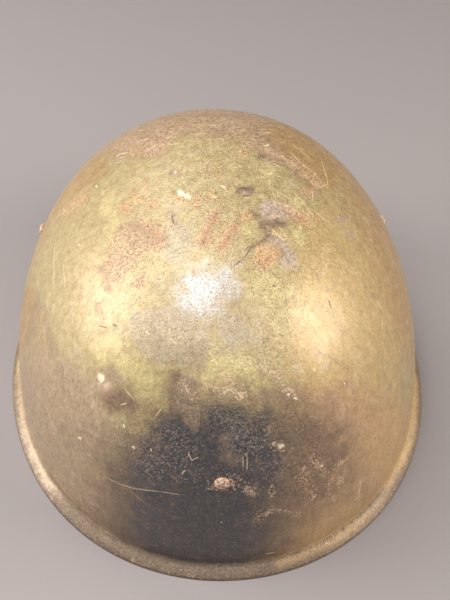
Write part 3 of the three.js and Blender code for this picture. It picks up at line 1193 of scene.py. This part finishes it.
    def _two_tone(self, nodes: PaintNodes, colour: str, other: str, size_mm: float) -> Any:
        """Mixes two colours in flecks of a real size.

        Args:
            nodes: The paint's nodes.
            colour: The colour where the noise is low.
            other: The colour where the noise is high.
            size_mm: The size of the flecks.

        Returns:
            The mixed colour's socket.
        """
        low, high = self.fleck_cut
        inputs = {"Value": nodes.noise[size_mm], "From Min": low, "From Max": high}
        share = add_node(nodes.tree, "MapRange", SMOOTH, inputs).outputs["Result"]
        inputs = {"Factor": share, "A": linear(colour), "B": linear(other)}
        return add_node(nodes.tree, "Mix", OVER, inputs).outputs["Result"]

    def _layer_mask(self, nodes: PaintNodes, layer: Layer) -> Any:
        """Cuts a layer's mask: its stain's field, broken by noise, halfway up.

        Args:
            nodes: The paint's nodes.
            layer: The layer's look.

        Returns:
            The mask's socket.
        """
        half = 0.5 + 0.5 * layer.ragged
        terms = nodes.noise[layer.grain_mm], layer.ragged, nodes.field[layer.stain]
        return nodes.cut(terms, half - layer.edge, half + layer.edge, layer.opacity)

    def _spots(self, nodes: PaintNodes, speckle: Speckle) -> Any:
        """Returns a mask of spots, cut from noise that the field lifts over a level."""
        terms = nodes.field[speckle.stain], speckle.gain, nodes.noise[speckle.size_mm]
        return nodes.cut(terms, speckle.rare, speckle.rare + self.spot_edge, speckle.opacity)

    def _weather(self, nodes: PaintNodes, colour: Any) -> Any:
        """Lays soft mottling, upright streaks, fine grit and the crown's scuffs over a colour.

        Args:
            nodes: The paint's nodes.
            colour: The colour's socket.

        Returns:
            The new colour's socket.
        """
        streak = nodes.drawn_out(self.streak_mm, self.streak_stretch)
        shades = [(share, nodes.noise[size_mm]) for size_mm, share in self.mottles]
        shades += [(self.streak_share, streak)]
        shades += [(nodes.by_grit(*self.grit_share), nodes.noise[self.grit_mm])]
        for share, shade in shades:
            inputs = {"Factor": share, "A": colour, "B": shade}
            colour = add_node(nodes.tree, "Mix", OVERLAY, inputs).outputs["Result"]
        line = nodes.drawn_out(self.scuff_mm, self.scuff_stretch)
        terms = nodes.field[Stain.CROWN], self.scuff_gain, line
        mask = nodes.cut(terms, *self.scuff_cut, self.scuff_opacity)
        inputs = {"Factor": mask, "A": colour, "B": linear(self.scuff)}
        return add_node(nodes.tree, "Mix", OVER, inputs).outputs["Result"]

    def _scar_mask(self, nodes: PaintNodes, frames: Array, look: ScarLook) -> Any:
        """Joins small marks into a mask: each is a stretched ball that fades from its middle.

        Args:
            nodes: The paint's nodes.
            frames: A 4 by 4 frame for each mark.
            look: How this kind of mark looks.

        Returns:
            The mask's socket.
        """
        tree = nodes.tree
        mask: Any = 0.0
        for matrix in frames:
            where, turn, size = Matrix(matrix.tolist()).decompose()
            inputs = {
                "Vector": nodes.place,
                "Location": where,
                "Rotation": turn.to_euler(),
                "Scale": size,
            }
            local = add_node(tree, "Mapping", TEXTURE, inputs).outputs["Vector"]
            settings = {"gradient_type": "SPHERICAL"}
            ball = add_node(tree, "TexGradient", settings, {"Vector": local}).outputs["Fac"]
            joined = add_node(tree, "Math", {"operation": "MAXIMUM"}, {0: ball, 1: mask})
            mask = joined.outputs["Value"]
        half = self.scar_level + 0.5 * look.ragged
        terms = nodes.noise[self.scar_mm], look.ragged, mask
        return nodes.cut(terms, half - look.edge, half + look.edge, look.opacity)

    def _inside(self, nodes: PaintNodes, colour: Any) -> Any:
        """Puts a dull dark coat, blotched with rust, on the inside.

        Args:
            nodes: The paint's nodes.
            colour: The outside's colour.

        Returns:
            The new colour's socket.
        """
        coat = self._two_tone(nodes, self.inner, self.inner_rust, self.rust_mm)
        inside = add_node(nodes.tree, "Attribute", {"attribute_name": INSIDE}).outputs["Fac"]
        inputs = {"Factor": inside, "A": colour, "B": coat}
        return add_node(nodes.tree, "Mix", OVER, inputs).outputs["Result"]

    def _gloss(self, nodes: PaintNodes, roughness: Any) -> Any:
        """Works out how much of the clear gloss is left: none where the surface is dull with rust.

        Args:
            nodes: The paint's nodes.
            roughness: The surface's roughness.

        Returns:
            The socket of the gloss's weight.
        """
        inputs = {
            "Value": roughness,
            "From Min": self.roughness,
            "From Max": self.dull_roughness,
            "To Min": self.coat_weight,
            "To Max": 0.0,
        }
        return add_node(nodes.tree, "MapRange", {}, inputs).outputs["Result"]


@dataclass
class PressedShell:
    """The helmet's shell: outside, trimmed edge and inside as one closed surface."""

    form: ShellForm
    camera: PhotoCamera
    sides: int = 480
    dome_rows: int = 140
    flare_rows: int = 14
    lip_rows: int = 5
    inner_dome_rows: int = 28
    inner_flare_rows: int = 8
    dent_cell: float = 42 * MM
    dent_depth: float = 0.25 * MM
    dent_fade: float = 20 * MM
    dent_seed: int = 3
    blister_rise: float = 0.15
    blister_spread: float = 0.7
    scar_depth: float = 6 * MM
    scar_cut: float = 0.55
    wall_lean: float = 0.02
    lip_lean: float = 0.25
    turn_soft: float = 0.06
    rim_from: float = 0.435
    rim_span: float = 0.3
    blot_heights: tuple[float, float] = (0.05, 0.9)
    blot_sizes: tuple[float, float] = (0.5, 1.2)
    waves: tuple[tuple[float, float, int], ...] = (
        (16 * MM, 3.0, 21),
        (6 * MM, 1.8, 31),
        (3 * MM, 0.8, 41),
    )

    def rows(self, dome: int, flare: int) -> Array:
        """Spaces the rings evenly down the dome and then round the bend of the rim.

        Args:
            dome: How many rings the dome has.
            flare: How many the bend has.

        Returns:
            Polar angles from below the crown to the top of the lip.
        """
        form = self.form
        over = form.polar_at(form.flare_top) * (np.arange(dome) + 1) / dome
        turn = form.flare_angle * (np.arange(flare) + 1) / flare
        bend = form.polar_at(form.flare_top - form.flare_radius * np.sin(turn))
        return np.concatenate([over, bend])

    def build(self) -> bpy.types.Object:
        """Makes the mesh: down the outside, round the trimmed edge and up the inside.

        Returns:
            The shell, with every stain's field and the inside's own as attributes.
        """
        form = self.form
        azimuth = np.arange(self.sides)[None, :] * 2 * math.pi / self.sides
        lip = form.polar_at(np.linspace(form.lip_top, form.trim, self.lip_rows + 1)[1:])
        polar = np.concatenate([self.rows(self.dome_rows, self.flare_rows), lip])[:, None]
        outer = form.outside(azimuth, polar)
        dents = lattice_noise(outer.reshape(-1, 3), self.dent_cell, self.dent_seed)
        dents = dents.reshape(outer.shape[:2])
        fade = np.clip((outer[..., 2] - form.flare_top) / self.dent_fade, 0, 1)
        rise = dents * fade * self.dent_depth + self._blistered(outer)
        outer = outer + form.normals(azimuth, polar) * rise[..., None]
        rim = np.array(math.pi / 2)
        foot = np.stack([form.outside(azimuth[0], rim, inset) for inset in (0, form.edge_width)])
        inner_rows = self.rows(self.inner_dome_rows, self.inner_flare_rows)[::-1, None]
        inner = form.outside(azimuth, inner_rows) - form.sheet * form.normals(azimuth, inner_rows)
        crown = np.array([0, 0, outer[0, :, 2].max()])
        inner_crown = np.array([0, 0, form.height - form.sheet])
        rings = np.concatenate([outer, foot, inner])
        piece = mesh_through_rings("pressed_shell", rings, crown, inner_crown)
        outside = np.vstack([outer.reshape(-1, 3), foot[0]])
        seen = np.vstack([self._seen(azimuth, polar, outer), np.zeros((1, self.sides))]).ravel()
        fields = self._fields(outside, seen)
        inside = np.ones(len(piece.data.vertices))
        inside[: len(outside)] = 0
        inside[FIRST_POLE] = 0
        self._attribute(piece.data, INSIDE, inside)
        for stain, field in fields.items():
            values = np.zeros(len(inside))
            values[: len(outside)] = field
            values[FIRST_POLE] = field[0]
            self._attribute(piece.data, stain.value, values)
        return piece

    def _blistered(self, points: Array) -> Array:
        """Works out how far the rust blisters lift points.

        Each rise is the square of one less the squared share of the way to its edge.

        Args:
            points: Points of the outside.

        Returns:
            A height in metres for each point.
        """
        marks = SCAR_CHART[Scar.BLISTER]
        middles = np.array([((m.u0 + m.u1) / 2, (m.v0 + m.v1) / 2) for m in marks])
        centres, _ = self.form.seen_at(self.camera, middles)
        widths = np.array([m.width_mm * MM for m in marks])
        away = np.linalg.norm(points[..., None, :] - centres, axis=-1)
        share = np.clip(1 - (away / (widths * self.blister_spread)) ** 2, 0, 1)
        return (share**2 * widths * self.blister_rise).max(axis=-1)

    def _seen(self, azimuth: Array, polar: Array, points: Array) -> Array:
        """Returns which points the camera sees, from 0 to 1: those whose wall faces it.

        Args:
            azimuth: The angles round the shell.
            polar: The angles down it.
            points: The points there.

        Returns:
            One share for each point. The lip is seen a little further round than its wall.
        """
        wall = self.form.polar_at(self.form.flare_top)
        out = self.form.normals(azimuth, np.minimum(polar, wall))
        view = np.array(self.camera.place) - points
        facing = (out * view).sum(axis=-1) / np.linalg.norm(view, axis=-1)
        lean = np.where(polar > wall, self.lip_lean, self.wall_lean)
        return np.clip((facing + lean) / self.turn_soft, 0, 1)

    def _fields(self, points: Array, seen: Array) -> dict[Stain, Array]:
        """Works out each stain's field: from the chart where it is seen, from blots elsewhere.

        Args:
            points: Points of the outside.
            seen: Which of them the camera sees, from 0 to 1.

        Returns:
            For each stain, a number from 0 to 1 for each point, a half at the stain's edge.
        """
        form = self.form
        pixels = self.camera.pixels(points)
        for cell, push, seed in self.waves:
            shift = [lattice_noise(points, cell, seed + axis) for axis in range(2)]
            pixels = pixels + push * np.column_stack(shift)
        height = points[:, 2]
        facing = np.abs(np.cos(form.angles_of(points)[0]))
        ends = np.clip((facing - self.rim_from) / self.rim_span, 0, 1)
        bend = np.clip((form.flare_top - height) / (form.flare_top - form.lip_top), 0, 1)
        # The lip grows darker towards the trimmed edge: rust there, and painted shade near the
        # floor.
        lip = np.clip((form.lip_top - height) / (form.lip_top - form.trim), 0, 1)
        fields = {Stain.RIM: ends * bend, Stain.EDGE: lip}
        for stain, patches in STAIN_CHART.items():
            charted = np.max([self._drawn(pixels, patch) for patch in patches], axis=0)
            blots = UNSEEN_CHART.get(stain)
            unseen = self._blotted(points, blots) if blots else 0
            fields[stain] = seen * charted + (1 - seen) * unseen
        return fields

    def _drawn(self, pixels: Array, patch: Patch) -> Array:
        """Gives a patch's field: a half at its edge, rising inwards with the distance.

        The distance is to the nearest side of the outline, and a pixel is inside where a level
        line from it crosses the outline an odd number of times.

        Args:
            pixels: Where the points are seen.
            patch: A row of the chart.

        Returns:
            A number from 0 to 1 for each pixel.
        """
        nearest = np.full(len(pixels), np.inf)
        inside = np.zeros(len(pixels), bool)
        column, row = pixels.T
        for start, end in zip(patch.outline, patch.outline[1:] + patch.outline[:1]):
            (u0, v0), (u1, v1) = start, end
            way = np.array([u1 - u0, v1 - v0])
            share = np.clip((pixels - start) @ way / (way @ way), 0, 1)
            away = np.linalg.norm(pixels - start - share[:, None] * way, axis=1)
            nearest = np.minimum(nearest, away)
            crossed = (row < v0) != (row < v1)
            inside ^= crossed & (column < u0 + (row - v0) * (u1 - u0) / (v1 - v0 or 1))
        depth = np.where(inside, nearest, -nearest) + patch.reach
        return np.clip(0.5 + depth / (2 * patch.soft), 0, 1)

    def _blotted(self, points: Array, blots: Blots) -> Array:
        """Gives the field of seeded round blots: one in the middle, falling to a half at the reach.

        Args:
            points: Points of the outside.
            blots: How many blots, how large, and their seed.

        Returns:
            A number from 0 to 1 for each point.
        """
        random = np.random.default_rng(blots.seed)
        azimuth = random.uniform(0, 2 * math.pi, blots.count)
        polar = np.arccos(random.uniform(*self.blot_heights, blots.count))
        centres = self.form.outside(azimuth, polar)
        reach = random.uniform(*self.blot_sizes, blots.count) * blots.reach_mm * MM
        away = np.linalg.norm(points[:, None] - centres, axis=2)
        return np.clip(1 - 0.5 * away / reach, 0, 1).max(axis=1)

    def _attribute(self, mesh: bpy.types.Mesh, name: str, values: Array) -> None:
        """Puts one number on every vertex."""
        layer = mesh.attributes.new(name, "FLOAT", "POINT")
        layer.data.foreach_set("value", values.astype(np.float32))

    def scar_frames(self, marks: tuple[Mark, ...]) -> Array:
        """Gives each mark's frame: along it, across it and out of the sheet, scaled to its size.

        Args:
            marks: Rows of the chart.

        Returns:
            A 4 by 4 matrix for each mark.
        """
        starts = np.array([(m.u0, m.v0) for m in marks])
        ends = np.array([(m.u1, m.v1) for m in marks])
        start, _ = self.form.seen_at(self.camera, starts)
        end, _ = self.form.seen_at(self.camera, ends)
        middle, out = self.form.seen_at(self.camera, (starts + ends) / 2)
        half_width = np.array([m.width_mm for m in marks])[:, None] * MM / 2
        length = np.linalg.norm(end - start, axis=1, keepdims=True)
        along = (end - start) / length
        across = np.cross(out, along)
        across /= np.linalg.norm(across, axis=1, keepdims=True)
        frames = np.tile(np.eye(4), (len(marks), 1, 1))
        frames[:, :3, 0] = along * np.maximum(length / 2, half_width) / self.scar_cut
        frames[:, :3, 1] = across * half_width / self.scar_cut
        frames[:, :3, 2] = np.cross(along, across) * self.scar_depth
        frames[:, :3, 3] = middle
        return frames

    def dress(self, piece: bpy.types.Object, paint: WornPaint) -> None:
        """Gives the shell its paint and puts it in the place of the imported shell.

        Args:
            piece: The shell.
            paint: Its finish.
        """
        scars = {scar: self.scar_frames(marks) for scar, marks in SCAR_CHART.items()}
        piece.data.materials.append(paint.material(scars))
        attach(piece, "root")
        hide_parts("shell")


@dataclass(frozen=True)
class RustedSteel:
    """Bare rivet steel gone to dull pinkish rust: matt, grainy, with dark pits."""

    name: str = "rusted_rivet_steel"
    light: str = "#b89a86"
    dark: str = "#806552"
    grain_mm: float = 1.2
    grain_detail: float = 4
    grain_cut: tuple[float, float] = (0.42, 0.6)
    bump_strength: float = 0.6
    bump_depth: float = 0.2 * MM
    roughness: float = 0.7

    def material(self) -> bpy.types.Material:
        """Builds the rust's nodes.

        Returns:
            The material.
        """
        material = empty_material(self.name)
        tree = material.node_tree
        place = add_node(tree, "TexCoord").outputs["Object"]
        inputs = {"Vector": place, "Scale": per_metre(self.grain_mm), "Detail": self.grain_detail}
        grain = add_node(tree, "TexNoise", inputs=inputs).outputs["Fac"]
        low, high = self.grain_cut
        inputs = {"Value": grain, "From Min": low, "From Max": high}
        mask = add_node(tree, "MapRange", SMOOTH, inputs).outputs["Result"]
        inputs = {"Factor": mask, "A": linear(self.light), "B": linear(self.dark)}
        colour = add_node(tree, "Mix", OVER, inputs).outputs["Result"]
        inputs = {"Strength": self.bump_strength, "Distance": self.bump_depth, "Height": grain}
        normal = add_node(tree, "Bump", inputs=inputs).outputs["Normal"]
        inputs = {"Base Color": colour, "Roughness": self.roughness, "Normal": normal}
        shader = add_node(tree, "BsdfPrincipled", inputs=inputs)
        add_node(tree, "OutputMaterial", inputs={"Surface": shader.outputs["BSDF"]})
        return material


@dataclass
class LinerRivets:
    """The rivets that would hold a liner: a domed head, the shank and a plain formed tail."""

    form: ShellForm
    nodes: tuple[str, ...] = ("rivet_front", "rivet_left", "rivet_right")
    head_radius: float = 3.7 * MM
    head_height: float = 2.1 * MM
    shank_radius: float = 2.0 * MM
    tail_radius: float = 3.2 * MM
    tail_height: float = 1.4 * MM
    clearance: float = 0.35 * MM
    lump_depth: float = 0.34 * MM
    lump_cell: float = 1.6 * MM
    lump_seed: int = 11
    sides: int = 48
    tail_steps: int = 8
    head_steps: int = 14

    def seat(self, node: str) -> tuple[Array, Array]:
        """Finds where a packed rivet sits, from the middle of its box.

        Args:
            node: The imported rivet's name.

        Returns:
            The point where it meets the outside, and the way out of the sheet there.
        """
        low, high = (np.array(corner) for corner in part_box(node))
        azimuth, polar, _ = self.form.angles_of((low + high) / 2)
        return self.form.outside(azimuth, polar), self.form.normals(azimuth, polar)

    def profile(self) -> Array:
        """Draws the rivet's section: a rounded tail, the shank, then a quarter-ellipse head.

        Returns:
            Radius and height along the axis, two to a row.
        """
        tail_top = -self.form.sheet - self.clearance
        turn = np.linspace(0, math.pi / 2, self.tail_steps)
        tail_z = tail_top - self.tail_height * np.sin(turn[::-1])
        tail = np.column_stack([self.tail_radius * np.cos(turn[::-1]), tail_z])[1:]
        shank = np.array([[self.shank_radius, tail_top], [self.shank_radius, self.clearance]])
        rise = np.linspace(0, math.pi / 2, self.head_steps)
        head_z = self.clearance + self.head_height * np.sin(rise)
        head = np.column_stack([self.head_radius * np.cos(rise), head_z])[:-1]
        return np.vstack([tail, shank, head])

    def build(self, node: str) -> bpy.types.Object:
        """Turns the profile round the rivet's axis, with a head a little lumpy from rust.

        Args:
            node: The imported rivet's name.

        Returns:
            The rivet.
        """
        seat, out = self.seat(node)
        across = np.cross(out, [0, 0, 1])
        across /= np.linalg.norm(across)
        upward = np.cross(across, out)
        angle = np.arange(self.sides) * 2 * math.pi / self.sides
        ray = np.cos(angle)[:, None] * across + np.sin(angle)[:, None] * upward
        profile = self.profile()[::-1]
        rings = seat + profile[:, :1, None] * ray[None] + profile[:, 1:, None] * out
        top = seat + out * (self.clearance + self.head_height)
        foot = seat - out * (self.form.sheet + self.clearance + self.tail_height)
        lumps = lattice_noise(rings.reshape(-1, 3), self.lump_cell, self.lump_seed)
        lumps = lumps.reshape(rings.shape[:2])
        proud = np.clip((rings - seat) @ out / self.head_height, 0, 1)
        rings = rings + (lumps * proud * self.lump_depth)[..., None] * out
        return mesh_through_rings(f"liner_{node}", rings, top, foot)

    def dress(self, piece: bpy.types.Object, node: str, finish: bpy.types.Material) -> None:
        """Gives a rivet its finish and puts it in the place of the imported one.

        Args:
            piece: The rivet.
            node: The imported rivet's name.
            finish: Its material.
        """
        piece.data.materials.append(finish)
        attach(piece, "root")
        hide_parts(node)


class SoftBox(NamedTuple):
    """A round studio light, placed by its bearing and height from the helmet."""

    name: str
    bearing: float
    elevation: float
    distance: float
    size: float
    power: float
    colour: str


@dataclass
class Studio:
    """A pale floor, soft lights and a plain surround."""

    aim: tuple[float, float, float] = (0.0, 0.0, 0.08)
    floor_half: float = 4.0
    floor_colour: str = "#7e7878"
    floor_roughness: float = 0.8
    surround: str = "#f2f0ee"
    surround_strength: float = 0.06
    lights: tuple[SoftBox, ...] = (
        SoftBox("glare_light", -79, 78.5, 1.3, 0.22, 3.8, "#ffffff"),
        SoftBox("top_light", -80, 66, 1.2, 0.79, 10.5, "#fffdfa"),
        SoftBox("front_light", 0, 55, 1.2, 0.9, 7.0, "#fffdfb"),
        SoftBox("left_light", -97, 22, 1.2, 0.79, 15.8, "#fffaf2"),
        SoftBox("right_light", 72, 27, 1.2, 0.79, 16.0, "#fff9f0"),
        SoftBox("rear_light", -150, 50, 1.2, 0.68, 4.5, "#fffdfb"),
    )

    def build_floor(self) -> None:
        """Adds the floor under the rim."""
        half = self.floor_half
        corners = [(-half, -half, 0), (half, -half, 0), (half, half, 0), (-half, half, 0)]
        mesh = bpy.data.meshes.new("pale_floor")
        mesh.from_pydata(corners, [], [(0, 1, 2, 3)])
        floor = add_object("pale_floor", mesh)
        material = bpy.data.materials.new("matt_pale_floor")
        material.use_nodes = True
        shader = material.node_tree.nodes["Principled BSDF"]
        shader.inputs["Base Color"].default_value = linear(self.floor_colour)
        shader.inputs["Roughness"].default_value = self.floor_roughness
        mesh.materials.append(material)

    def build_lights(self) -> None:
        """Adds the lights, each turned to the helmet, and the even surround."""
        for box in self.lights:
            bearing, elevation = math.radians(box.bearing), math.radians(box.elevation)
            level = math.cos(elevation)
            side, front = level * math.sin(bearing), level * math.cos(bearing)
            way = Vector((side, -front, math.sin(elevation)))
            data = bpy.data.lights.new(box.name, "AREA")
            data.energy = box.power
            data.shape = "DISK"
            data.size = box.size
            data.color = linear(box.colour)[:3]
            light = add_object(box.name, data)
            light.location = Vector(self.aim) + way * box.distance
            light.rotation_euler = way.to_track_quat("Z", "Y").to_euler()
        world = bpy.data.worlds.new("even_surround")
        world.use_nodes = True
        sky = world.node_tree.nodes["Background"]
        sky.inputs["Color"].default_value = linear(self.surround)
        sky.inputs["Strength"].default_value = self.surround_strength
        bpy.context.scene.world = world

    def build(self) -> None:
        """Adds the floor and the lights, and shows colours as they are lit."""
        self.build_floor()
        self.build_lights()
        bpy.context.scene.view_settings.view_transform = "Standard"


def main() -> None:
    """Builds the camera, the shell, the rivets and the studio."""
    logging.basicConfig(level=logging.INFO, format="%(message)s")
    camera = PhotoCamera()
    camera.build()
    form = ShellForm.of_node("shell")
    shell = PressedShell(form, camera)
    piece = shell.build()
    shell.dress(piece, WornPaint())
    log.info("%s: %d faces", piece.name, len(piece.data.polygons))
    rivets = LinerRivets(form)
    rust = RustedSteel().material()
    for node in rivets.nodes:
        piece = rivets.build(node)
        rivets.dress(piece, node, rust)
        log.info("%s: %d faces", piece.name, len(piece.data.polygons))
    Studio().build()


if __name__ == "__main__":
    main()
